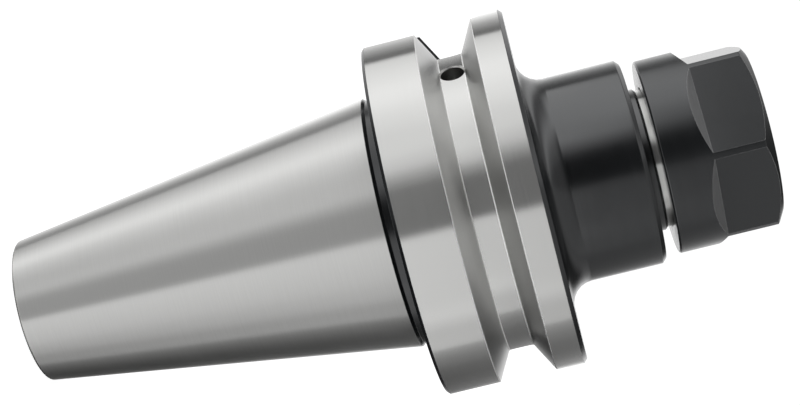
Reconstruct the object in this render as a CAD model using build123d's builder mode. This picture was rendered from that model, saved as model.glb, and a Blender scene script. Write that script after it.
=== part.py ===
from build123d import *
from math import cos, radians, sin, tan
import os

# Collet chuck holder: a steep taper shank, a gripper flange, and a nose with a spring collet and its nut.
# Millimetres. The origin is the centre of the gauge plane of the taper. +Z is the tool axis, towards the nose,
# so the holder stands on the small end of its shank. The drive slots lie on the X axis.

# Taper shank
gauge_diameter = 44.45
taper_ratio = 7 / 24
shank_length = 65.4
shank_end_chamfer = 0.5
undercut_depth = 0.5
undercut_overrun = 0.05

# Gripper flange, from its rear face to its front face
gauge_to_flange = 2.35
flange_diameter = 63.0
rear_land = 9.4
front_land = 5.48
groove_depth = 4.8
groove_floor_width = 4.23
groove_flank_angle = 30.0
flange_rear_chamfer = 0.55
flange_front_chamfer = 0.7

# Drive slots and balance hole in the flange
slot_width = 16.1
slot_floor_height = 22.5
hole_diameter = 4.0
hole_depth = 6.0
hole_from_slot_angle = 32.0
drill_point_angle = 118.0

# Nose and threaded spigot
nose_diameter = 36.0
nose_length = 17.27
nose_root_chamfer = 2.4
nose_edge_chamfer = 0.75
thread_diameter = 25.0
spigot_land = 1.15
relief_width = 2.0
relief_depth = 0.4

# Bores of the holder
socket_spare_depth = 2.0
through_bore_diameter = 13.0
stud_pilot_diameter = 17.0
stud_pilot_depth = 6.0
stud_thread_bore_diameter = 14.0
stud_thread_depth = 34.0
stud_mouth_chamfer = 0.6

# Spring collet
collet_diameter = 21.0
collet_half_angle = 8.0
collet_taper_length = 24.0
collet_land = 0.5
collet_groove_depth = 1.8
collet_groove_width = 2.0
collar_diameter = 19.6
collar_land = 0.6
collet_cone_length = 2.6
clamping_angle = 30.0
tool_diameter = 10.0
slit_width = 0.8
slit_pairs = 8
slit_bridge = 6.0

# Clamping nut
nut_gap = 2.43
nut_diameter = 34.0
nut_length = 18.65
nut_back_chamfer = 0.3
hex_across_flats = 30.0
hex_length = 10.3
hex_runout_angle = 50.0
hex_turn = 3.5
front_chamfer_depth = 2.8
front_chamfer_angle = 30.0
collet_set_back = 0.3

# Extractor ring inside the nut
ring_thickness = 1.4
ring_hold = 0.65

# Clearances
socket_clearance = 0.04
thread_clearance = 0.05
cone_clearance = 0.04
ring_clearance = 0.2
nut_inside_clearance = 0.4

# How near an edge lies to the place where it is looked for
near = 0.001

# Places along the tool axis
shank_end = -shank_length
flange_rear = gauge_to_flange
groove_mouth_width = groove_floor_width + 2 * groove_depth * tan(radians(groove_flank_angle))
groove_start = flange_rear + rear_land
groove_end = groove_start + groove_mouth_width
groove_centre = (groove_start + groove_end) / 2
flange_front = groove_end + front_land
nose_end = flange_front + nose_length
nut_back = nose_end + nut_gap
nut_front = nut_back + nut_length
collet_front = nut_front - collet_set_back
cone_start = collet_front - collet_cone_length
collar_start = cone_start - collar_land
collet_groove_start = collar_start - collet_groove_width
collet_land_end = collet_groove_start - collet_groove_depth
spigot_end = collet_land_end - collet_land
collet_back = spigot_end - collet_taper_length
socket_bottom = collet_back - socket_spare_depth

# Radii that several pieces share
flange_radius = flange_diameter / 2
groove_floor_radius = flange_radius - groove_depth
spigot_radius = thread_diameter / 2
nut_radius = nut_diameter / 2
flat_radius = hex_across_flats / 2
collet_radius = collet_diameter / 2
collar_radius = collar_diameter / 2
collet_groove_radius = collet_radius - collet_groove_depth
collet_slope = tan(radians(collet_half_angle))
clamping_slope = tan(radians(clamping_angle))
slit_reach = collet_diameter


def taper_radius(height):
    """Radius of the shank taper at a height above the gauge plane."""
    return gauge_diameter / 2 + height * taper_ratio / 2


def rim(body, radius, height):
    """The circular edges of a body with this radius at this height."""
    level = body.edges().filter_by(GeomType.CIRCLE).filter_by_position(Axis.Z, height - near, height + near)
    return level.filter_by(lambda edge: abs(edge.radius - radius) < near)


def half_section(*points):
    """The closed face with these corners, given as radius and height, beside the tool axis."""
    with BuildSketch(Plane.XZ) as section:
        with BuildLine():
            Polyline(*points, close=True)
        make_face()
    return section.sketch


# Holder body: turned outside
with BuildPart() as holder_body:
    undercut_start = -undercut_overrun
    undercut_radius = taper_radius(undercut_start) - undercut_depth
    relief_start = nose_end + spigot_land
    profile = half_section(
        (0, shank_end),
        (taper_radius(shank_end), shank_end),
        (taper_radius(undercut_start), undercut_start),
        (undercut_radius, undercut_start + undercut_depth),
        (undercut_radius, flange_rear),
        (flange_radius, flange_rear),
        (flange_radius, groove_start),
        (groove_floor_radius, groove_centre - groove_floor_width / 2),
        (groove_floor_radius, groove_centre + groove_floor_width / 2),
        (flange_radius, groove_end),
        (flange_radius, flange_front),
        (nose_diameter / 2, flange_front),
        (nose_diameter / 2, nose_end),
        (spigot_radius, nose_end),
        (spigot_radius, relief_start),
        (spigot_radius - relief_depth, relief_start + relief_depth),
        (spigot_radius - relief_depth, relief_start + relief_width - relief_depth),
        (spigot_radius, relief_start + relief_width),
        (spigot_radius, spigot_end),
        (0, spigot_end),
    )
    revolve(profile, axis=Axis.Z)
    chamfer(rim(holder_body, taper_radius(shank_end), shank_end), length=shank_end_chamfer)
    chamfer(rim(holder_body, flange_radius, flange_rear), length=flange_rear_chamfer)
    chamfer(rim(holder_body, flange_radius, flange_front), length=flange_front_chamfer)
    chamfer(rim(holder_body, nose_diameter / 2, flange_front), length=nose_root_chamfer)
    chamfer(rim(holder_body, nose_diameter / 2, nose_end), length=nose_edge_chamfer)

    # Drive slots, milled from the rear and ending in the cutter's own round
    for side in (1, -1):
        with BuildSketch(Plane((side * slot_floor_height, 0, 0), x_dir=(0, side, 0), z_dir=(side, 0, 0))):
            with Locations((0, groove_centre / 2)):
                Rectangle(slot_width, groove_centre)
            with Locations((0, groove_centre)):
                Circle(slot_width / 2)
        extrude(amount=flange_radius, mode=Mode.SUBTRACT)

    # Balance hole, drilled in the floor of the groove beside one slot
    hole_direction = radians(180 + hole_from_slot_angle)
    drill_axis = Vector(cos(hole_direction), sin(hole_direction), 0)
    hole_centre = drill_axis * groove_floor_radius + Vector(0, 0, groove_centre)
    with Locations(Plane(hole_centre, z_dir=drill_axis)):
        Hole(hole_diameter / 2, depth=hole_depth)
    point_height = hole_diameter / 2 / tan(radians(drill_point_angle / 2))
    with Locations(Plane(hole_centre - drill_axis * hole_depth, z_dir=-drill_axis)):
        Cone(hole_diameter / 2, 0, point_height, align=(Align.CENTER, Align.CENTER, Align.MIN), mode=Mode.SUBTRACT)

    # Collet socket, through bore and pull stud hole
    socket_mouth_radius = collet_radius + socket_clearance
    socket_bottom_radius = socket_mouth_radius - (spigot_end - socket_bottom) * collet_slope
    stud_pilot_end = shank_end + stud_pilot_depth
    stud_thread_end = shank_end + stud_thread_depth
    profile = half_section(
        (0, shank_end),
        (stud_pilot_diameter / 2 + stud_mouth_chamfer, shank_end),
        (stud_pilot_diameter / 2, shank_end + stud_mouth_chamfer),
        (stud_pilot_diameter / 2, stud_pilot_end),
        (stud_thread_bore_diameter / 2, stud_pilot_end),
        (stud_thread_bore_diameter / 2, stud_thread_end),
        (through_bore_diameter / 2, stud_thread_end),
        (through_bore_diameter / 2, socket_bottom),
        (socket_bottom_radius, socket_bottom),
        (socket_mouth_radius, spigot_end),
        (0, spigot_end),
    )
    revolve(profile, axis=Axis.Z, mode=Mode.SUBTRACT)

# Spring collet
with BuildPart() as collet:
    collet_back_radius = collet_radius - collet_taper_length * collet_slope
    collet_front_radius = collar_radius - collet_cone_length * clamping_slope
    profile = half_section(
        (0, collet_back),
        (collet_back_radius, collet_back),
        (collet_radius, spigot_end),
        (collet_radius, collet_land_end),
        (collet_groove_radius, collet_groove_start),
        (collet_groove_radius, collar_start),
        (collar_radius, collar_start),
        (collar_radius, cone_start),
        (collet_front_radius, collet_front),
        (0, collet_front),
    )
    revolve(profile, axis=Axis.Z)

    with Locations((0, 0, collet_front)):
        Hole(tool_diameter / 2)

    # Slits, sawn in turn from the front and from the back
    half_step = 180 / slit_pairs
    with BuildSketch(Plane.XY.offset(collet_front)):
        with PolarLocations(slit_reach / 2, slit_pairs):
            Rectangle(slit_reach, slit_width)
    extrude(amount=-(collet_front - collet_back - slit_bridge), mode=Mode.SUBTRACT)
    with BuildSketch(Plane.XY.offset(collet_back)):
        with PolarLocations(slit_reach / 2, slit_pairs, start_angle=half_step):
            Rectangle(slit_reach, slit_width)
    extrude(amount=collet_taper_length - slit_bridge / 2, mode=Mode.SUBTRACT)

# Cutter for one flat of the nut, with the slanted plane where the flat runs out
with BuildPart() as flat_cutter:
    hex_start = nut_front - hex_length
    runout_back = hex_start - nut_radius / tan(radians(hex_runout_angle))
    with BuildSketch(Plane.XZ):
        with BuildLine():
            Polyline(
                (flat_radius, nut_front),
                (flat_radius, hex_start),
                (flat_radius + nut_radius, runout_back),
                (flat_radius + nut_radius, nut_front),
                close=True,
            )
        make_face()
    extrude(amount=nut_radius, both=True)

# Clamping nut
with BuildPart() as clamping_nut:
    front_chamfer_length = front_chamfer_depth * tan(radians(front_chamfer_angle))
    profile = half_section(
        (0, nut_back),
        (nut_radius - nut_back_chamfer, nut_back),
        (nut_radius, nut_back + nut_back_chamfer),
        (nut_radius, nut_front - front_chamfer_length),
        (nut_radius - front_chamfer_depth, nut_front),
        (0, nut_front),
    )
    revolve(profile, axis=Axis.Z)
    with PolarLocations(0, 6, start_angle=hex_turn):
        add(flat_cutter.part, mode=Mode.SUBTRACT)

    # Thread bore at the back, and the space behind the extractor ring
    nut_bore_radius = spigot_radius + thread_clearance
    bore_end = spigot_end + nut_inside_clearance
    ring_front = collar_start - ring_clearance
    ring_back = ring_front - ring_thickness
    profile = half_section(
        (0, nut_back),
        (nut_bore_radius, nut_back),
        (nut_bore_radius, bore_end),
        (collet_radius + nut_inside_clearance, bore_end),
        (collet_radius + nut_inside_clearance, ring_back),
        (0, ring_back),
    )
    revolve(profile, axis=Axis.Z, mode=Mode.SUBTRACT)

    # Pocket of the collar and clamping cone, in front of the ring
    pocket_radius = collar_radius + ring_clearance
    cone_shift = cone_clearance / cos(radians(clamping_angle))
    pocket_end = cone_start - (ring_clearance - cone_shift) / clamping_slope
    opening_radius = collar_radius + cone_shift - (nut_front - cone_start) * clamping_slope
    profile = half_section(
        (0, ring_front),
        (pocket_radius, ring_front),
        (pocket_radius, pocket_end),
        (opening_radius, nut_front),
        (0, nut_front),
    )
    revolve(profile, axis=Axis.Z, mode=Mode.SUBTRACT)

    # Eccentric opening of the ring, which lets the collar in at a tilt and then holds it
    ring_shift = ring_hold + ring_clearance
    with BuildSketch(Plane.XY.offset(ring_back)):
        with Locations((ring_shift, 0)):
            Circle(collar_radius + ring_clearance)
    extrude(amount=ring_thickness, mode=Mode.SUBTRACT)

os.makedirs("parts", exist_ok=True)
holder_body.part.label = "holder_body"
collet.part.label = "collet"
clamping_nut.part.label = "clamping_nut"
export_step(holder_body.part, "parts/holder_body.step")
export_step(collet.part, "parts/collet.step")
export_step(clamping_nut.part, "parts/clamping_nut.step")
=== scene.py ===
from math import acos, atan, ceil, cos, pi, radians, sin, sqrt, tan

import bmesh
import bpy
from mathutils import Matrix, Vector


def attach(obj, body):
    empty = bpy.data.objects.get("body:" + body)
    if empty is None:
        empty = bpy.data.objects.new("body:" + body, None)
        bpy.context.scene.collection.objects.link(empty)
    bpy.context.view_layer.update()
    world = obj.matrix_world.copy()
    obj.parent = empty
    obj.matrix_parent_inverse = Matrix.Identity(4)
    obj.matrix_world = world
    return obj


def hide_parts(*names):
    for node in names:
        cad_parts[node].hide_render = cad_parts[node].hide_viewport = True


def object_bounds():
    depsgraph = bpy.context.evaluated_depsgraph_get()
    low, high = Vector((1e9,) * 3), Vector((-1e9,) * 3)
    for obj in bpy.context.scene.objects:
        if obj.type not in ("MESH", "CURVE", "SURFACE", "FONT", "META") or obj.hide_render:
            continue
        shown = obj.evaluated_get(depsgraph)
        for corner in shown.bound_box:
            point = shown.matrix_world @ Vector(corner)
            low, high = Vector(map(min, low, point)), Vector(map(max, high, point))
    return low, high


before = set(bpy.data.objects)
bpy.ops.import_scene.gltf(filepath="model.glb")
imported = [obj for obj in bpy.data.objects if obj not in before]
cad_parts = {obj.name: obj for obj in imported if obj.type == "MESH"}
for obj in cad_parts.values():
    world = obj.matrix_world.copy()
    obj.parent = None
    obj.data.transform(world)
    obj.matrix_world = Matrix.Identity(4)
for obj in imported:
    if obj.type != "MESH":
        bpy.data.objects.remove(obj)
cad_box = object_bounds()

# Collet chuck holder: a turned and ground holder body, a spring collet and a hexagon clamping nut.
# Sizes are millimetres in the frame of the part: the origin is the centre of the gauge plane of the taper,
# and +Z runs towards the nose. MM brings them to metres.
MM = 0.001

# Taper shank
GAUGE_RADIUS, TAPER_SLOPE, SHANK_END = 22.225, 7 / 48, -65.4
UNDERCUT_START, UNDERCUT_DEPTH = -0.05, 0.5

# Gripper flange
FLANGE_RADIUS, FLANGE_REAR, REAR_CHAMFER, FRONT_CHAMFER = 31.5, 2.35, 0.55, 0.7
REAR_LAND, FRONT_LAND = 9.4, 5.48
GROOVE_DEPTH, GROOVE_FLOOR_WIDTH, GROOVE_FLANK = 4.8, 4.23, radians(30)
GROOVE_FLOOR_RADIUS = FLANGE_RADIUS - GROOVE_DEPTH
GROOVE_START = FLANGE_REAR + REAR_LAND
GROOVE_END = GROOVE_START + GROOVE_FLOOR_WIDTH + 2 * GROOVE_DEPTH * tan(GROOVE_FLANK)
GROOVE_CENTRE = (GROOVE_START + GROOVE_END) / 2
FLANGE_FRONT = GROOVE_END + FRONT_LAND

# Drive slots and balance hole, with their small rounds
SLOT_HALF_WIDTH, SLOT_FLOOR, SLOT_FLOOR_RADIUS, SLOT_SPARE = 8.05, 22.5, 0.6, 12.0
HOLE_RADIUS, HOLE_DEPTH, HOLE_TURN, HOLE_RIM, DRILL_POINT = 2.0, 6.0, radians(212), 0.25, radians(118)
DRILL_TIP = 0.02

# Nose and nut, along the tool axis
NOSE_RADIUS, NOSE_LENGTH, NOSE_ROOT, NOSE_CHAMFER = 18.0, 17.27, 4.0, 0.75
NUT_RADIUS, NUT_GAP, NUT_LENGTH, BACK_CHAMFER = 17.0, 2.43, 18.65, 0.3
NOSE_END = FLANGE_FRONT + NOSE_LENGTH
NUT_BACK = NOSE_END + NUT_GAP
NUT_FRONT = NUT_BACK + NUT_LENGTH
FRONT_CHAMFER_DEPTH, FRONT_CHAMFER_ANGLE = 2.8, radians(30)
FRONT_FACE_RADIUS = NUT_RADIUS - FRONT_CHAMFER_DEPTH
FRONT_CHAMFER_LENGTH = FRONT_CHAMFER_DEPTH * tan(FRONT_CHAMFER_ANGLE)
HEX_SIDES, HEX_LENGTH, HEX_TURN, RUNOUT = 6, 10.3, radians(3.5), radians(50)
HEX_START = NUT_FRONT - HEX_LENGTH
FLAT_RADIUS, FLAT_HALF_WIDTH = 15.0, 8.4

# Spring collet, from its front face to its back
COLLET_RADIUS, COLLET_GROOVE_RADIUS, COLLAR_RADIUS, TOOL_RADIUS = 10.5, 8.7, 9.8, 5.0
COLLET_SLOPE, CLAMPING_SLOPE = tan(radians(8)), tan(radians(30))
COLLET_SET_BACK, CONE_LENGTH, COLLAR_LAND, COLLET_GROOVE_WIDTH, COLLET_LAND = 0.3, 2.6, 0.6, 2.0, 0.5
TAPER_LENGTH = 24.0
SLIT_PAIRS, SLIT_WIDTH, SLIT_BRIDGE = 8, 0.8, 6.0
COLLET_FRONT = NUT_FRONT - COLLET_SET_BACK
CONE_START = COLLET_FRONT - CONE_LENGTH
COLLAR_START = CONE_START - COLLAR_LAND
COLLET_GROOVE_START = COLLAR_START - COLLET_GROOVE_WIDTH
COLLET_LAND_END = COLLET_GROOVE_START - (COLLET_RADIUS - COLLET_GROOVE_RADIUS)
SPIGOT_END = COLLET_LAND_END - COLLET_LAND
COLLET_BACK = SPIGOT_END - TAPER_LENGTH
COLLET_FRONT_RADIUS = COLLAR_RADIUS - CONE_LENGTH * CLAMPING_SLOPE
COLLET_BACK_RADIUS = COLLET_RADIUS - TAPER_LENGTH * COLLET_SLOPE

# Spigot and bores of the holder
COLLET_PITCH, COLLET_THREAD_RADIUS, COLLET_THREAD_DEPTH, THREAD_CHAMFER = 1.5, 12.5, 0.9, 0.9
SPIGOT_LAND, RELIEF_WIDTH, RELIEF_DEPTH = 1.15, 2.0, 0.4
SPIGOT_LAND_END = NOSE_END + SPIGOT_LAND
THREAD_START = SPIGOT_LAND_END + RELIEF_WIDTH
SOCKET_PLAY, SOCKET_SPARE, THROUGH_RADIUS = 0.04, 2.0, 6.5
SOCKET_MOUTH_RADIUS = COLLET_RADIUS + SOCKET_PLAY
SOCKET_BOTTOM = COLLET_BACK - SOCKET_SPARE
SOCKET_BOTTOM_RADIUS = SOCKET_MOUTH_RADIUS - (SPIGOT_END - SOCKET_BOTTOM) * COLLET_SLOPE
STUD_PITCH, STUD_CORE_RADIUS, STUD_THREAD_DEPTH = 2.0, 7.0, 1.0
STUD_PILOT_RADIUS, STUD_PILOT_DEPTH, STUD_REACH, STUD_MOUTH = 8.5, 6.0, 34.0, 0.6
STUD_PILOT_END = SHANK_END + STUD_PILOT_DEPTH
STUD_THREAD_END = SHANK_END + STUD_REACH

# Inside of the nut
THREAD_PLAY, INSIDE_PLAY, RING_PLAY, CONE_PLAY = 0.05, 0.4, 0.2, 0.04
RING_THICKNESS, RING_HOLD = 1.4, 0.65
NUT_BORE_RADIUS, NUT_MOUTH_CHAMFER = COLLET_THREAD_RADIUS + THREAD_PLAY, 0.6
NUT_BORE_END = SPIGOT_END + INSIDE_PLAY
NUT_CHAMBER_RADIUS = COLLET_RADIUS + INSIDE_PLAY
RING_RADIUS, RING_SHIFT = COLLAR_RADIUS + RING_PLAY, RING_HOLD + RING_PLAY
RING_FRONT = COLLAR_START - RING_PLAY
RING_BACK = RING_FRONT - RING_THICKNESS
CONE_SHIFT = CONE_PLAY / cos(atan(CLAMPING_SLOPE))
POCKET_END = CONE_START - (RING_PLAY - CONE_SHIFT) / CLAMPING_SLOPE
OPENING_RADIUS = COLLAR_RADIUS + CONE_SHIFT - (NUT_FRONT - CONE_START) * CLAMPING_SLOPE

# Rounds of the edges: five that recur, then those of single edges
FINE_ROUND, EDGE_ROUND, SMALL_ROUND, SOFT_ROUND, WIDE_ROUND = 0.1, 0.12, 0.2, 0.25, 0.3
SHANK_END_ROUND, REAR_EDGE_ROUND, SPIGOT_ROOT = 0.5, 0.08, 0.15
NUT_BACK_ROUND, POCKET_ROUND = 0.06, 0.05
COLLET_BACK_ROUND, COLLET_LAND_ROUND = 0.4, 0.15

# Fineness of the meshes, and how far a cutter runs past what it cuts
SEGMENTS, ROWS_PER_PITCH = 192, 14
SLOT_END_STEPS, SLOT_FLOOR_STEPS, HOLE_STEPS = 49, 4, 48
ARC_STEP, FEWEST_ARC_STEPS = radians(16), 3
SUPPORT, SHARP = 0.06, radians(24)
CUT_SPARE = 1.0

# Finishes of the holder, in the order of its material slots
# The rear flank finish is painted light and the front flank finish painted shade; the edge finish is a
# painted highlight
TAPER, LAND, REAR_FLANK, FRONT_FLANK, EDGE, BLACK, UNDERCUT, TURNED = range(8)

# Fine marks on a surface: rings of the lathe, and soft blotches mixed in with them
STEEL_MARKS = {"across": 5200, "along": 2.2, "detail": 4.0, "blotches": 90, "ring_share": 0.6}
OXIDE_MARKS = {"across": 3800, "along": 1.6, "detail": 3.0, "blotches": 140, "ring_share": 0.5}
RING_ROUGHNESS, BLOTCH_DETAIL = 0.6, 3.0
NOISE_LOW, NOISE_HIGH = 0.3, 0.7
GRAIN_TURN = 0.25

# Colours, and the edge colours: a painted highlight along steel edges, and worn oxide with a painted
# highlight along black edges
WARMTH, WARM_DARK, WARM_LIGHT = 0.01, (0.56, 0.55, 0.53), (0.66, 0.65, 0.62)
OXIDE_BLACK, OXIDE_TINT, OXIDE_DARK_SHARE = (0.006, 0.007, 0.008), (0.97, 0.985, 1.0, 1), 0.7
PAINTED_EDGE_HIGHLIGHT, WORN_EDGE_AND_HIGHLIGHT = (0.86, 0.86, 0.85, 1), (0.28, 0.28, 0.28, 1)
EDGE_REACH, EDGE_SAMPLES, EDGE_NONE, EDGE_FULL = 0.12, 6, 0.995, 0.93

# Camera
EYE, RIGHT, UP = (-19.721, -330.700, 28.118), (0.2437, 0.0646, 0.9677), (-0.9686, 0.0677, 0.2394)
SENSOR_WIDTH, LENS, CLIP_START = 36.0, 85.627, 10.0

# Floor
FLOOR_HALF_SIZE, FLOOR_THICKNESS = 6000.0, 10.0
FLOOR_DARK, FLOOR_LIGHT, FLOOR_ROUGHNESS, FLOOR_GLOW = (0.80,) * 3, (0.82,) * 3, 0.9, 0.8
FLOOR_BLOTCHES, FLOOR_DETAIL = 3.0, 2.0

# Brightness of the light round the object. The columns are the azimuth in degrees, then the light from far
# below, from a little below, from level with the object, from a little above and from far above.
LIGHT = [
    (0, 0.10, 0.90, 0.27, 0.33, 0.38),
    (9, 0.10, 0.40, 0.27, 0.33, 0.33),
    (21, 0.08, 0.10, 0.26, 0.36, 0.35),
    (33, 0.05, 0.03, 0.24, 0.42, 0.20),
    (45, 0.03, 0.02, 0.26, 0.60, 0.06),
    (57, 0.03, 0.02, 0.36, 0.95, 0.05),
    (63, 0.03, 0.03, 0.45, 1.15, 0.05),
    (78, 0.10, 0.80, 1.20, 1.20, 0.06),
    (87, 0.40, 1.60, 1.60, 1.10, 0.12),
    (105, 0.85, 1.40, 1.40, 1.05, 0.50),
    (117, 0.75, 1.00, 1.00, 1.10, 0.90),
    (129, 0.55, 0.55, 0.55, 0.55, 1.00),
    (141, 0.29, 0.20, 0.20, 0.25, 0.45),
    (146, 0.25, 0.12, 0.12, 0.22, 0.35),
    (148, 0.45, 1.35, 1.35, 0.30, 0.35),
    (160, 1.10, 1.40, 1.40, 1.00, 0.35),
    (177, 1.50, 1.45, 1.45, 1.50, 0.60),
    (189, 0.85, 1.45, 1.45, 1.50, 0.95),
    (201, 0.75, 1.05, 1.50, 1.50, 1.30),
    (213, 0.65, 1.15, 1.55, 0.85, 1.05),
    (219, 0.65, 1.50, 1.60, 0.42, 0.85),
    (225, 0.80, 1.60, 1.60, 0.30, 0.65),
    (234, 1.10, 1.60, 0.75, 0.12, 0.55),
    (243, 1.05, 0.60, 0.06, 0.06, 0.40),
    (249, 0.97, 0.05, 0.02, 0.05, 0.25),
    (276, 0.97, 0.02, 0.02, 0.05, 0.25),
    (280, 1.40, 1.80, 0.20, 0.22, 0.42),
    (297, 1.25, 1.80, 0.24, 0.31, 0.42),
    (321, 0.90, 1.95, 0.28, 0.37, 0.42),
    (333, 0.50, 2.25, 0.28, 0.46, 0.42),
    (345, 0.20, 1.60, 0.27, 0.46, 0.42),
]

# Elevations in degrees over which each column of the light gives way to the next
LIGHT_BANDS = [(-22, -10), (-6, -0.5), (2, 5), (8, 24)]

# Light from straight below is dimmed, and the camera sees plain white behind the object
DIM_START, DIM_END, DIM_SHARE = -42, -62, 0.18
WHITE, WHITE_STRENGTH = (1, 1, 1, 1), 1.05


# Outlines of turned pieces

def corner(radius, height, rounding=0.0, finish=0, shape=None, edge=None):
    """One corner of an outline, its rounding, and the finishes of what follows it and of the rounding."""
    edge = finish if edge is None else edge
    at = Vector((radius, height))
    return {"at": at, "rounding": rounding, "finish": finish, "edge": edge, "shape": shape}


def arc_points(last, here, following):
    """The points of one corner, with an arc in place of its point where it is rounded."""
    p = here["at"]
    to_last, to_next = last["at"] - p, following["at"] - p
    room = min(to_last.length, to_next.length) / 2
    last_way, next_way = to_last.normalized(), to_next.normalized()
    half = acos(max(-1.0, min(1.0, last_way.dot(next_way)))) / 2
    turn = pi - 2 * half
    if here["rounding"] <= 0 or turn < ARC_STEP / 4:
        return [p]
    reach = min(here["rounding"] / tan(half), room)
    radius = reach * tan(half)
    centre = p + (last_way + next_way).normalized() * (radius / sin(half))
    start = p + last_way * reach - centre
    end = p + next_way * reach - centre
    steps = max(FEWEST_ARC_STEPS, ceil(turn / ARC_STEP))
    shares = [k / steps for k in range(steps + 1)]
    return [centre + (start * sin((1 - t) * turn) + end * sin(t * turn)) / sin(turn) for t in shares]


def rounded_outline(corners):
    """The rows of a closed outline. Rows close to the ends of each straight keep it flat in shading."""
    count = len(corners)
    arcs = [arc_points(corners[i - 1], corners[i], corners[(i + 1) % count]) for i in range(count)]
    rows = []
    for i, here in enumerate(corners):
        for k, q in enumerate(arcs[i]):
            finish = here["finish"] if k == len(arcs[i]) - 1 else here["edge"]
            rows.append((q.x, q.y, finish, here["shape"]))
        start, end = arcs[i][-1], arcs[(i + 1) % count][0]
        if (end - start).length > 4 * SUPPORT:
            way = (end - start).normalized() * SUPPORT
            for q in (start + way, end - way):
                rows.append((q.x, q.y, here["finish"], here["shape"]))
    return rows


# Solids

def spin(name, rows, materials):
    """A turned piece: the closed outline carried round the tool axis."""
    mesh = bpy.data.meshes.new(name)
    points = []
    for radius, height, _, shape in rows:
        for k in range(SEGMENTS):
            angle = 2 * pi * k / SEGMENTS
            x, y = radius * cos(angle), radius * sin(angle)
            if shape:
                x, y = shape(radius, height, angle)
            points.append((x * MM, y * MM, height * MM))
    faces, finishes = [], []
    for i, row in enumerate(rows):
        here, there = i * SEGMENTS, (i + 1) % len(rows) * SEGMENTS
        for k in range(SEGMENTS):
            n = (k + 1) % SEGMENTS
            faces.append((here + k, here + n, there + n, there + k))
            finishes.append(row[2])
    mesh.from_pydata(points, [], faces)
    for material in materials:
        mesh.materials.append(material)
    mesh.polygons.foreach_set("material_index", finishes)
    piece = bpy.data.objects.new(name, mesh)
    bpy.context.scene.collection.objects.link(piece)
    return piece


def block(name, rings, material=None, sides=None):
    """A closed solid from rings of points, each ring joined to the next and the ends capped.
    With sides, each side has a material of its own."""
    mesh = bpy.data.meshes.new(name)
    count = len(rings[0])
    points = [Vector(p) * MM for ring in rings for p in ring]
    faces = [tuple(reversed(range(count)))]
    for i in range(len(rings) - 1):
        for k in range(count):
            n = (k + 1) % count
            faces.append((i * count + k, i * count + n, (i + 1) * count + n, (i + 1) * count + k))
    faces.append(tuple(range((len(rings) - 1) * count, len(rings) * count)))
    mesh.from_pydata(points, [], faces)
    for used in sides or [material]:
        mesh.materials.append(used)
    if sides:
        for face, polygon in enumerate(mesh.polygons):
            polygon.material_index = (face - 1) % count if 0 < face < len(faces) - 1 else 0
    piece = bpy.data.objects.new(name, mesh)
    bpy.context.scene.collection.objects.link(piece)
    facing = bmesh.new()
    facing.from_mesh(mesh)
    bmesh.ops.recalc_face_normals(facing, faces=facing.faces)
    facing.to_mesh(mesh)
    facing.free()
    return piece


def cut(piece, cutters):
    """Takes the cutters out of the piece and deletes them."""
    for cutter in cutters:
        modifier = piece.modifiers.new("cut", "BOOLEAN")
        modifier.operation = "DIFFERENCE"
        modifier.solver = "EXACT"
        modifier.material_mode = "TRANSFER"
        modifier.object = cutter
    graph = bpy.context.evaluated_depsgraph_get()
    mesh = bpy.data.meshes.new_from_object(piece.evaluated_get(graph))
    piece.modifiers.clear()
    piece.data = mesh
    for cutter in cutters:
        bpy.data.objects.remove(cutter)


def shade(piece):
    """Smooth shading with sharp edges where faces meet at a real edge."""
    mesh = piece.data
    mesh.polygons.foreach_set("use_smooth", [True] * len(mesh.polygons))
    mesh.set_sharp_from_angle(angle=SHARP)


# Threads

def ridge(pitch, depth, height, angle):
    """Depth below the crest of a right-hand 60 degree thread at a height and an angle round the axis."""
    half_crest = pitch / 16
    turn = height / pitch - angle / (2 * pi)
    from_crest = abs(turn - round(turn)) * pitch
    return min(max((from_crest - half_crest) * sqrt(3), 0), depth)


def fade(height, start, end, length):
    """One inside a thread, falling to zero at both of its ends."""
    t = max(0.0, min(1.0, (height - start) / length, (end - height) / length))
    return t * t * (3 - 2 * t)


def outer_thread(pitch, depth, start, end):
    """Shape of a thread cut into a spigot."""
    def shape(radius, height, angle):
        r = radius - ridge(pitch, depth, height, angle) * fade(height, start, end, pitch / 2)
        return r * cos(angle), r * sin(angle)
    return shape


def inner_thread(pitch, depth, start, end, crest):
    """Shape of a thread in a bore, whose ridges stand in the grooves of the spigot's thread."""
    def shape(_, height, angle):
        r = crest - ridge(pitch, depth, height, angle) * fade(height, start, end, pitch / 2)
        return r * cos(angle), r * sin(angle)
    return shape


def cut_thread(pitch, depth, start, end):
    """Shape of a thread cut outwards into a core bore."""
    def shape(radius, height, angle):
        groove = depth - ridge(pitch, depth, height, angle)
        r = radius + groove * fade(height, min(start, end), max(start, end), pitch / 2)
        return r * cos(angle), r * sin(angle)
    return shape


def thread_rows(radius, start, end, pitch, finish, shape):
    """Closely spaced corners along a thread."""
    count = ceil(abs(end - start) / pitch * ROWS_PER_PITCH)
    return [corner(radius, start + (end - start) * k / count, 0, finish, shape) for k in range(count + 1)]


# Shader nodes

def node(tree, kind, **settings):
    """A new shader node with its properties set."""
    made = tree.nodes.new(kind)
    for key, value in settings.items():
        setattr(made, key, value)
    return made


def feed(tree, value, socket):
    """Gives a socket a number, or joins another socket to it."""
    if isinstance(value, (int, float)):
        socket.default_value = value
    else:
        tree.links.new(value, socket)


def calculate(tree, operation, *values):
    """The outcome of a math node on numbers or sockets."""
    made = node(tree, "ShaderNodeMath", operation=operation)
    for socket, value in zip(made.inputs, values):
        feed(tree, value, socket)
    return made.outputs[0]


def blend(tree, share, first, second):
    """A mix of two numbers or sockets."""
    made = node(tree, "ShaderNodeMix")
    tree.links.new(share, made.inputs[0])
    feed(tree, first, made.inputs[2])
    feed(tree, second, made.inputs[3])
    return made.outputs[0]


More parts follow.
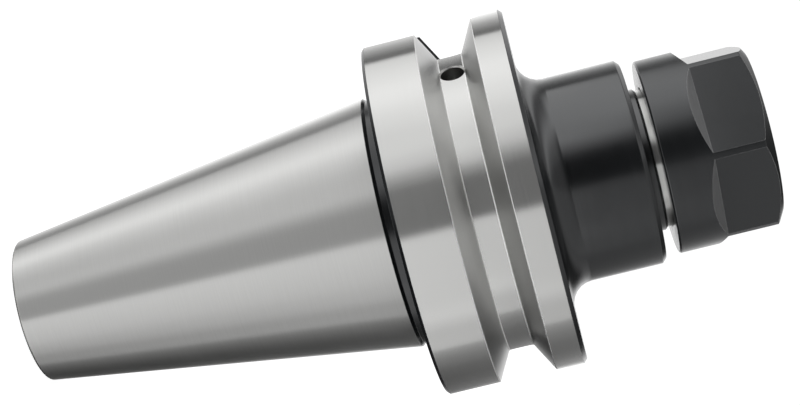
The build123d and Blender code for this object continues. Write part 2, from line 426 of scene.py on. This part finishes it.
def ring_noise(tree, marks):
    """Noise in rings round the tool axis: fine across the rings and long along them."""
    across, along = marks["across"], marks["along"]
    where = node(tree, "ShaderNodeTexCoord")
    parts = node(tree, "ShaderNodeSeparateXYZ")
    tree.links.new(where.outputs["Object"], parts.inputs[0])
    x, y, z = parts.outputs
    squares = calculate(tree, "ADD", calculate(tree, "MULTIPLY", x, x), calculate(tree, "MULTIPLY", y, y))
    radius = calculate(tree, "SQRT", squares)
    unit_x = calculate(tree, "DIVIDE", x, radius)
    unit_y = calculate(tree, "DIVIDE", y, radius)
    vector = node(tree, "ShaderNodeCombineXYZ")
    for socket, value, scale in zip(vector.inputs, (radius, z, unit_x), (across, across, along)):
        tree.links.new(calculate(tree, "MULTIPLY", value, scale), socket)
    noise = node(tree, "ShaderNodeTexNoise", noise_dimensions="4D")
    noise.inputs["Scale"].default_value = 1.0
    noise.inputs["Detail"].default_value = marks["detail"]
    noise.inputs["Roughness"].default_value = RING_ROUGHNESS
    tree.links.new(vector.outputs[0], noise.inputs["Vector"])
    tree.links.new(calculate(tree, "MULTIPLY", unit_y, along), noise.inputs["W"])
    return noise.outputs["Fac"]


def blotch_noise(tree, scale, detail):
    """Soft blotches over the surface."""
    where = node(tree, "ShaderNodeTexCoord")
    noise = node(tree, "ShaderNodeTexNoise")
    noise.inputs["Scale"].default_value = scale
    noise.inputs["Detail"].default_value = detail
    tree.links.new(where.outputs["Object"], noise.inputs["Vector"])
    return noise.outputs["Fac"]


def remap(tree, value, low, high):
    """A noise value brought to low to high."""
    made = node(tree, "ShaderNodeMapRange")
    made.inputs["From Min"].default_value = NOISE_LOW
    made.inputs["From Max"].default_value = NOISE_HIGH
    made.inputs["To Min"].default_value = low
    made.inputs["To Max"].default_value = high
    tree.links.new(value, made.inputs["Value"])
    return made.outputs["Result"]


def tint(tree, value, dark, light):
    """A colour between dark and light by a noise value."""
    made = node(tree, "ShaderNodeValToRGB")
    first, last = made.color_ramp.elements
    first.position, last.position = NOISE_LOW, NOISE_HIGH
    first.color = (*dark, 1)
    last.color = (*light, 1)
    tree.links.new(value, made.inputs["Fac"])
    return made.outputs["Color"]


def bump(tree, shader, value, distance):
    """Fine relief from a noise value."""
    made = node(tree, "ShaderNodeBump")
    made.inputs["Strength"].default_value = 1.0
    made.inputs["Distance"].default_value = distance * MM
    tree.links.new(value, made.inputs["Height"])
    tree.links.new(made.outputs["Normal"], shader.inputs["Normal"])


def lathe_grain(tree, shader, strength):
    """Reflections drawn out across the marks that run round the axis."""
    tangent = node(tree, "ShaderNodeTangent", direction_type="RADIAL", axis="Z")
    tree.links.new(tangent.outputs[0], shader.inputs["Tangent"])
    shader.inputs["Anisotropic"].default_value = strength
    shader.inputs["Anisotropic Rotation"].default_value = GRAIN_TURN


def edge_mask(tree):
    """One along sharp edges and zero away from them."""
    edge = node(tree, "ShaderNodeBevel", samples=EDGE_SAMPLES)
    edge.inputs["Radius"].default_value = EDGE_REACH * MM
    surface = node(tree, "ShaderNodeNewGeometry")
    likeness = node(tree, "ShaderNodeVectorMath", operation="DOT_PRODUCT")
    tree.links.new(edge.outputs[0], likeness.inputs[0])
    tree.links.new(surface.outputs["Normal"], likeness.inputs[1])
    mask = node(tree, "ShaderNodeMapRange")
    mask.inputs["From Min"].default_value = EDGE_NONE
    mask.inputs["From Max"].default_value = EDGE_FULL
    tree.links.new(likeness.outputs["Value"], mask.inputs["Value"])
    return mask.outputs["Result"]


def edged(tree, colour, edge_colour):
    """A colour that turns to another one along sharp edges: a painted highlight, and on black oxide worn
    edges as well.
    """
    mixed = node(tree, "ShaderNodeMix", data_type="RGBA")
    tree.links.new(edge_mask(tree), mixed.inputs["Factor"])
    tree.links.new(colour, mixed.inputs[6])
    mixed.inputs[7].default_value = edge_colour
    return mixed.outputs[2]


# Materials

def new_material(name):
    """A node material with its tree and its main shader."""
    material = bpy.data.materials.new(name)
    material.use_nodes = True
    tree = material.node_tree
    tree.nodes.clear()
    output = node(tree, "ShaderNodeOutputMaterial")
    shader = node(tree, "ShaderNodeBsdfPrincipled")
    tree.links.new(shader.outputs["BSDF"], output.inputs["Surface"])
    return material, tree, shader


def marked(name, marks, dark, light, edge_colour, rough, relief):
    """A material whose colour, roughness and relief follow the fine marks on it."""
    material, tree, shader = new_material(name)
    rings = ring_noise(tree, marks)
    blotches = blotch_noise(tree, marks["blotches"], BLOTCH_DETAIL)
    ring_part = calculate(tree, "MULTIPLY", rings, marks["ring_share"])
    blotch_part = calculate(tree, "MULTIPLY", blotches, 1 - marks["ring_share"])
    mixed = calculate(tree, "ADD", ring_part, blotch_part)
    colour = edged(tree, tint(tree, mixed, dark, light), edge_colour)
    tree.links.new(colour, shader.inputs["Base Color"])
    tree.links.new(remap(tree, mixed, *rough), shader.inputs["Roughness"])
    bump(tree, shader, rings, relief)
    return material, tree, shader


def steel(name, dark, light, rough, grain, relief):
    """Bare steel with marks round the axis, and a painted highlight along its sharp edges."""
    material, tree, shader = marked(name, STEEL_MARKS, dark, light, PAINTED_EDGE_HIGHLIGHT, rough, relief)
    shader.inputs["Metallic"].default_value = 1.0
    lathe_grain(tree, shader, grain)
    return material


def black_oxide(name, base, ior, rough, relief):
    """Satin black oxide over steel, its edges painted lighter: partly oxide worn thin, partly a painted
    highlight.
    """
    darker = tuple(OXIDE_DARK_SHARE * c for c in base)
    material, _, shader = marked(name, OXIDE_MARKS, darker, base, WORN_EDGE_AND_HIGHLIGHT, rough, relief)
    shader.inputs["IOR"].default_value = ior
    shader.inputs["Specular Tint"].default_value = OXIDE_TINT
    return material


def grey(level):
    """A grey with a trace of warmth."""
    return level, level, level - WARMTH


taper_steel = steel("taper_steel", grey(0.58), grey(0.64), rough=(0.31, 0.35), grain=1.0, relief=0.0003)
land_steel = steel("land_steel", grey(0.58), grey(0.61), rough=(0.22, 0.25), grain=1.0, relief=0.0003)
# The rear flank's steel is painted lighter and the front flank's darker, for light from above: painted
# light and painted shade
rear_flank_painted_light = steel("rear_flank_painted_light", grey(0.82), grey(0.88), rough=(0.28, 0.33), grain=0.3, relief=0.0002)
front_flank_painted_shade = steel("front_flank_painted_shade", grey(0.41), grey(0.46), rough=(0.28, 0.33), grain=0.3, relief=0.0002)
# The steel of the groove edges is painted near white: a painted highlight along those edges
edge_steel_painted_highlight = steel("edge_steel_painted_highlight", grey(0.94), grey(0.98), rough=(0.50, 0.58), grain=0.0, relief=0.0002)
turned_steel = steel("turned_steel", WARM_DARK, WARM_LIGHT, rough=(0.24, 0.30), grain=0.8, relief=0.0004)
milled_steel = steel("milled_steel", grey(0.40), grey(0.50), rough=(0.28, 0.40), grain=0.0, relief=0.0010)
collet_steel = steel("collet_steel", grey(0.52), grey(0.62), rough=(0.18, 0.28), grain=0.5, relief=0.0004)
black_nose = black_oxide("black_nose", OXIDE_BLACK, ior=1.9, rough=(0.17, 0.23), relief=0.0005)
black_undercut = black_oxide("black_undercut", OXIDE_BLACK, ior=1.6, rough=(0.20, 0.26), relief=0.0005)
black_slot = black_oxide("black_slot", (0.035, 0.036, 0.037), ior=1.6, rough=(0.38, 0.48), relief=0.0012)
black_nut = black_oxide("black_nut", OXIDE_BLACK, ior=1.82, rough=(0.20, 0.27), relief=0.0005)
black_flat = black_oxide("black_flat", (0.010, 0.011, 0.012), ior=1.75, rough=(0.12, 0.15), relief=0.0001)
# The run-outs are a lighter copy of the black oxide: painted light for the light they catch from above
black_runout_painted_light = black_oxide("black_runout_painted_light", (0.18, 0.182, 0.184), ior=1.8, rough=(0.20, 0.25), relief=0.0005)


# Holder body

def taper_radius(height):
    """Radius of the shank taper at a height above the gauge plane."""
    return GAUGE_RADIUS + height * TAPER_SLOPE


def holder_outside():
    """Corners of the holder body from the shank's end face to the start of the spigot's thread."""
    undercut_radius = taper_radius(UNDERCUT_START) - UNDERCUT_DEPTH
    floor_half = GROOVE_FLOOR_WIDTH / 2
    relief_radius = COLLET_THREAD_RADIUS - RELIEF_DEPTH
    return [
        corner(STUD_PILOT_RADIUS + STUD_MOUTH, SHANK_END, FINE_ROUND, LAND),
        corner(taper_radius(SHANK_END), SHANK_END, SHANK_END_ROUND, TAPER, edge=LAND),
        corner(taper_radius(UNDERCUT_START), UNDERCUT_START, EDGE_ROUND, BLACK),
        corner(undercut_radius, UNDERCUT_START + UNDERCUT_DEPTH, FINE_ROUND, UNDERCUT),
        corner(undercut_radius, FLANGE_REAR, WIDE_ROUND, BLACK),
        corner(FLANGE_RADIUS - REAR_CHAMFER, FLANGE_REAR, EDGE_ROUND, BLACK),
        corner(FLANGE_RADIUS, FLANGE_REAR + REAR_CHAMFER, REAR_EDGE_ROUND, LAND, edge=BLACK),
        corner(FLANGE_RADIUS, GROOVE_START, SMALL_ROUND, REAR_FLANK, edge=EDGE),
        corner(GROOVE_FLOOR_RADIUS, GROOVE_CENTRE - floor_half, SOFT_ROUND, LAND, edge=EDGE),
        corner(GROOVE_FLOOR_RADIUS, GROOVE_CENTRE + floor_half, SOFT_ROUND, FRONT_FLANK, edge=EDGE),
        corner(FLANGE_RADIUS, GROOVE_END, SMALL_ROUND, LAND, edge=EDGE),
        corner(FLANGE_RADIUS, FLANGE_FRONT - FRONT_CHAMFER, EDGE_ROUND, BLACK),
        corner(FLANGE_RADIUS - FRONT_CHAMFER, FLANGE_FRONT, EDGE_ROUND, BLACK),
        corner(NOSE_RADIUS, FLANGE_FRONT, NOSE_ROOT, BLACK),
        corner(NOSE_RADIUS, NOSE_END - NOSE_CHAMFER, SMALL_ROUND, BLACK),
        corner(NOSE_RADIUS - NOSE_CHAMFER, NOSE_END, EDGE_ROUND, BLACK),
        corner(COLLET_THREAD_RADIUS, NOSE_END, SPIGOT_ROOT, BLACK),
        corner(COLLET_THREAD_RADIUS, SPIGOT_LAND_END, FINE_ROUND, LAND, edge=BLACK),
        corner(relief_radius, SPIGOT_LAND_END + RELIEF_DEPTH, FINE_ROUND, LAND),
        corner(relief_radius, THREAD_START - RELIEF_DEPTH, FINE_ROUND, TURNED),
    ]


def holder_outline():
    """The section of the holder body, up its outside and down through its bores."""
    thread_end = SPIGOT_END - THREAD_CHAMFER
    spigot_thread = outer_thread(COLLET_PITCH, COLLET_THREAD_DEPTH, THREAD_START, SPIGOT_END + COLLET_PITCH)
    stud_thread = cut_thread(STUD_PITCH, STUD_THREAD_DEPTH, STUD_THREAD_END, STUD_PILOT_END)
    corners = holder_outside()
    corners += thread_rows(
        COLLET_THREAD_RADIUS, THREAD_START, thread_end, COLLET_PITCH, TURNED, spigot_thread)
    corners += [
        corner(COLLET_THREAD_RADIUS - THREAD_CHAMFER, SPIGOT_END, FINE_ROUND, TURNED),
        corner(SOCKET_MOUTH_RADIUS, SPIGOT_END, SMALL_ROUND, TURNED),
        corner(SOCKET_BOTTOM_RADIUS, SOCKET_BOTTOM, FINE_ROUND, TURNED),
        corner(THROUGH_RADIUS, SOCKET_BOTTOM, FINE_ROUND, TURNED),
    ]
    corners += thread_rows(
        STUD_CORE_RADIUS, STUD_THREAD_END, STUD_PILOT_END, STUD_PITCH, TURNED, stud_thread)
    corners += [
        corner(STUD_PILOT_RADIUS, STUD_PILOT_END, FINE_ROUND, TURNED),
        corner(STUD_PILOT_RADIUS, SHANK_END + STUD_MOUTH, FINE_ROUND, TURNED),
    ]
    return rounded_outline(corners)


def slot_ring(inset, distance, side):
    """The slot's outline at a distance from the axis, drawn in by an inset."""
    half = SLOT_HALF_WIDTH - inset
    low = FLANGE_REAR - SLOT_SPARE
    ring = [(side * distance, -side * half, low), (side * distance, side * half, low)]
    for k in range(SLOT_END_STEPS + 1):
        angle = pi * k / SLOT_END_STEPS
        ring.append((side * distance, side * half * cos(angle), GROOVE_CENTRE + half * sin(angle)))
    return ring


def slot_cutter(side):
    """A milling cutter's path for one drive slot, with small rounds along its floor."""
    rings = []
    for k in range(SLOT_FLOOR_STEPS + 1):
        angle = pi / 2 * k / SLOT_FLOOR_STEPS
        inset = SLOT_FLOOR_RADIUS * (1 - sin(angle))
        rings.append(slot_ring(inset, SLOT_FLOOR + SLOT_FLOOR_RADIUS * (1 - cos(angle)), side))
    rings.append(slot_ring(0, FLANGE_RADIUS + SLOT_SPARE, side))
    return block("slot_cutter", rings, black_slot)


def hole_cutter():
    """A drill for the balance hole, with its point and a small countersink."""
    point = HOLE_RADIUS / tan(DRILL_POINT / 2)
    floor = GROOVE_FLOOR_RADIUS
    sections = [
        (DRILL_TIP, floor - HOLE_DEPTH - point),
        (HOLE_RADIUS, floor - HOLE_DEPTH),
        (HOLE_RADIUS, floor - HOLE_RIM),
        (HOLE_RADIUS + HOLE_RIM, floor),
        (HOLE_RADIUS + HOLE_RIM, floor + CUT_SPARE),
    ]
    way = Vector((cos(HOLE_TURN), sin(HOLE_TURN), 0))
    side = Vector((-sin(HOLE_TURN), cos(HOLE_TURN), 0))
    up = Vector((0, 0, 1))
    rings = []
    for radius, distance in sections:
        centre = way * distance + up * GROOVE_CENTRE
        ring = []
        for k in range(HOLE_STEPS):
            angle = 2 * pi * k / HOLE_STEPS
            ring.append(centre + side * (radius * cos(angle)) + up * (radius * sin(angle)))
        rings.append(ring)
    return block("hole_cutter", rings, milled_steel)


def make_holder():
    """The holder body, which stands for its solid."""
    bright = [taper_steel, land_steel, rear_flank_painted_light, front_flank_painted_shade, edge_steel_painted_highlight]
    finishes = bright + [black_nose, black_undercut, turned_steel]
    piece = spin("holder", holder_outline(), finishes)
    cut(piece, [slot_cutter(1), slot_cutter(-1), hole_cutter()])
    shade(piece)
    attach(piece, "holder")
    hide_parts("holder_body")


# Clamping nut

def nut_outline():
    """The section of the nut, before its flats are milled."""
    thread_end = NUT_BACK + NUT_MOUTH_CHAMFER
    thread_depth = COLLET_THREAD_DEPTH - 2 * THREAD_PLAY
    inside = inner_thread(COLLET_PITCH, thread_depth, NUT_BACK, NUT_BORE_END, NUT_BORE_RADIUS)

    def ring(radius, height, angle):
        return radius * cos(angle) + RING_SHIFT, radius * sin(angle)

    corners = [
        corner(NUT_BORE_RADIUS + NUT_MOUTH_CHAMFER, NUT_BACK, FINE_ROUND),
        corner(NUT_RADIUS - BACK_CHAMFER, NUT_BACK, NUT_BACK_ROUND),
        corner(NUT_RADIUS, NUT_BACK + BACK_CHAMFER, FINE_ROUND),
        corner(NUT_RADIUS, NUT_FRONT - FRONT_CHAMFER_LENGTH, WIDE_ROUND),
        corner(FRONT_FACE_RADIUS, NUT_FRONT, WIDE_ROUND),
        corner(OPENING_RADIUS, NUT_FRONT, SOFT_ROUND),
        corner(RING_RADIUS, POCKET_END, POCKET_ROUND),
        corner(RING_RADIUS, RING_FRONT),
        corner(RING_RADIUS, RING_FRONT, shape=ring),
        corner(RING_RADIUS, RING_BACK, shape=ring),
        corner(NUT_CHAMBER_RADIUS, RING_BACK),
        corner(NUT_CHAMBER_RADIUS, NUT_BORE_END, FINE_ROUND),
    ]
    corners += thread_rows(NUT_BORE_RADIUS, NUT_BORE_END, thread_end, COLLET_PITCH, 0, inside)
    return rounded_outline(corners)


def flat_cutter(index):
    """A milling cutter's path for one flat, with the slanted plane where it runs out."""
    turn = Matrix.Rotation(HEX_TURN + 2 * pi * index / HEX_SIDES, 3, "Z")
    front, reach = NUT_FRONT + CUT_SPARE, NUT_RADIUS
    section = [
        (FLAT_RADIUS, front),
        (FLAT_RADIUS, HEX_START),
        (FLAT_RADIUS + reach, HEX_START - reach / tan(RUNOUT)),
        (FLAT_RADIUS + reach, front),
    ]
    rings = [[turn @ Vector((x, y, z)) for x, z in section] for y in (-FLAT_HALF_WIDTH, FLAT_HALF_WIDTH)]
    return block("flat_cutter", rings, sides=[black_flat, black_runout_painted_light, black_nut, black_nut])


def make_nut():
    """The clamping nut, which stands for its solid."""
    piece = spin("nut", nut_outline(), [black_nut, black_flat, black_runout_painted_light])
    cut(piece, [flat_cutter(k) for k in range(HEX_SIDES)])
    shade(piece)
    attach(piece, "nut")
    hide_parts("clamping_nut")


# Spring collet

def collet_outline():
    """The section of the collet, before it is slit."""
    return rounded_outline([
        corner(TOOL_RADIUS, COLLET_BACK, SOFT_ROUND),
        corner(COLLET_BACK_RADIUS, COLLET_BACK, COLLET_BACK_ROUND),
        corner(COLLET_RADIUS, SPIGOT_END, FINE_ROUND),
        corner(COLLET_RADIUS, COLLET_LAND_END, COLLET_LAND_ROUND),
        corner(COLLET_GROOVE_RADIUS, COLLET_GROOVE_START, SMALL_ROUND),
        corner(COLLET_GROOVE_RADIUS, COLLAR_START, SMALL_ROUND),
        corner(COLLAR_RADIUS, COLLAR_START, EDGE_ROUND),
        corner(COLLAR_RADIUS, CONE_START, EDGE_ROUND),
        corner(COLLET_FRONT_RADIUS, COLLET_FRONT, SMALL_ROUND),
        corner(TOOL_RADIUS, COLLET_FRONT, SOFT_ROUND),
    ])


def slit_cutter(angle, low, high):
    """A saw's path for one slit."""
    turn = Matrix.Rotation(angle, 3, "Z")
    near, far, half = TOOL_RADIUS - CUT_SPARE, COLLET_RADIUS + CUT_SPARE, SLIT_WIDTH / 2
    section = [(near, -half), (far, -half), (far, half), (near, half)]
    rings = [[turn @ Vector((x, y, z)) for x, y in section] for z in (low, high)]
    return block("slit_cutter", rings, collet_steel)


def make_collet():
    """The spring collet, which stands for its solid."""
    piece = spin("spring_collet", collet_outline(), [collet_steel])
    back_slit_end = COLLET_BACK + TAPER_LENGTH - SLIT_BRIDGE / 2
    cutters = []
    for k in range(SLIT_PAIRS):
        angle = 2 * pi * k / SLIT_PAIRS
        cutters.append(slit_cutter(angle, COLLET_BACK + SLIT_BRIDGE, COLLET_FRONT + CUT_SPARE))
        cutters.append(slit_cutter(angle + pi / SLIT_PAIRS, COLLET_BACK - CUT_SPARE, back_slit_end))
    cut(piece, cutters)
    shade(piece)
    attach(piece, "collet")
    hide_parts("collet")


# Camera, floor and light

def make_camera():
    """The camera at the photograph's viewing angle."""
    data = bpy.data.cameras.new("camera")
    data.sensor_fit = "HORIZONTAL"
    data.sensor_width = SENSOR_WIDTH
    data.lens = LENS
    data.clip_start = CLIP_START * MM
    camera = bpy.data.objects.new("camera", data)
    right = Vector(RIGHT).normalized()
    up = (Vector(UP) - right * right.dot(Vector(UP))).normalized()
    turn = Matrix((right, up, right.cross(up))).transposed().to_4x4()
    camera.matrix_world = Matrix.Translation(Vector(EYE) * MM) @ turn
    bpy.context.scene.collection.objects.link(camera)
    bpy.context.scene.camera = camera


def make_floor():
    """A plain pale floor under the end of the shank."""
    half = FLOOR_HALF_SIZE
    top = cad_box[0].z / MM
    square = [(-half, -half), (half, -half), (half, half), (-half, half)]
    rings = [[(x, y, z) for x, y in square] for z in (top - FLOOR_THICKNESS, top)]
    material, tree, shader = new_material("pale_floor")
    floor = block("floor", rings, material)
    colour = tint(tree, blotch_noise(tree, FLOOR_BLOTCHES, FLOOR_DETAIL), FLOOR_DARK, FLOOR_LIGHT)
    tree.links.new(colour, shader.inputs["Base Color"])
    shader.inputs["Roughness"].default_value = FLOOR_ROUGHNESS
    shader.inputs["Emission Color"].default_value = WHITE
    shader.inputs["Emission Strength"].default_value = FLOOR_GLOW
    floor.visible_glossy = False


def light_ramp(tree, turn, azimuths, column):
    """Brightness by azimuth."""
    ramp = node(tree, "ShaderNodeValToRGB")
    elements = ramp.color_ramp.elements
    peak = max(column)
    while len(elements) < len(column):
        elements.new(1.0)
    for element, azimuth, value in zip(elements, azimuths, column):
        element.position = azimuth / 360
        element.color = (value / peak,) * 3 + (1,)
    tree.links.new(turn, ramp.inputs["Fac"])
    return calculate(tree, "MULTIPLY", ramp.outputs["Color"], peak)


def band(tree, value, start, end):
    """A smooth step from zero at one elevation in degrees to one at another."""
    made = node(tree, "ShaderNodeMapRange", interpolation_type="SMOOTHSTEP")
    made.inputs["From Min"].default_value = radians(start)
    made.inputs["From Max"].default_value = radians(end)
    tree.links.new(value, made.inputs["Value"])
    return made.outputs["Result"]


def light_strength(tree):
    """Brightness of the light from each direction."""
    where = node(tree, "ShaderNodeTexCoord")
    parts = node(tree, "ShaderNodeSeparateXYZ")
    tree.links.new(where.outputs["Generated"], parts.inputs[0])
    x, y, z = parts.outputs
    turn = calculate(tree, "DIVIDE", calculate(tree, "ARCTAN2", y, x), 2 * pi)
    turn = calculate(tree, "FRACT", calculate(tree, "ADD", turn, 1.0))
    height = calculate(tree, "ARCSINE", z)
    azimuths, *columns = zip(*LIGHT)
    strength, *higher = [light_ramp(tree, turn, azimuths, column) for column in columns]
    for (start, end), ramp in zip(LIGHT_BANDS, higher):
        strength = blend(tree, band(tree, height, start, end), strength, ramp)
    dimming = blend(tree, band(tree, height, DIM_START, DIM_END), 1.0, DIM_SHARE)
    return calculate(tree, "MULTIPLY", strength, dimming)


def make_light():
    """Soft studio light: broad cards all round, and a white background behind the object."""
    world = bpy.data.worlds.new("studio")
    bpy.context.scene.world = world
    world.use_nodes = True
    tree = world.node_tree
    tree.nodes.clear()
    cards = node(tree, "ShaderNodeBackground")
    cards.inputs["Color"].default_value = WHITE
    tree.links.new(light_strength(tree), cards.inputs["Strength"])
    backdrop = node(tree, "ShaderNodeBackground")
    backdrop.inputs["Color"].default_value = WHITE
    backdrop.inputs["Strength"].default_value = WHITE_STRENGTH
    path = node(tree, "ShaderNodeLightPath")
    either = node(tree, "ShaderNodeMixShader")
    tree.links.new(path.outputs["Is Camera Ray"], either.inputs[0])
    tree.links.new(cards.outputs[0], either.inputs[1])
    tree.links.new(backdrop.outputs[0], either.inputs[2])
    output = node(tree, "ShaderNodeOutputWorld")
    tree.links.new(either.outputs[0], output.inputs["Surface"])
    bpy.context.scene.view_settings.view_transform = "Standard"


make_camera()
make_holder()
make_nut()
make_collet()
make_floor()
make_light()
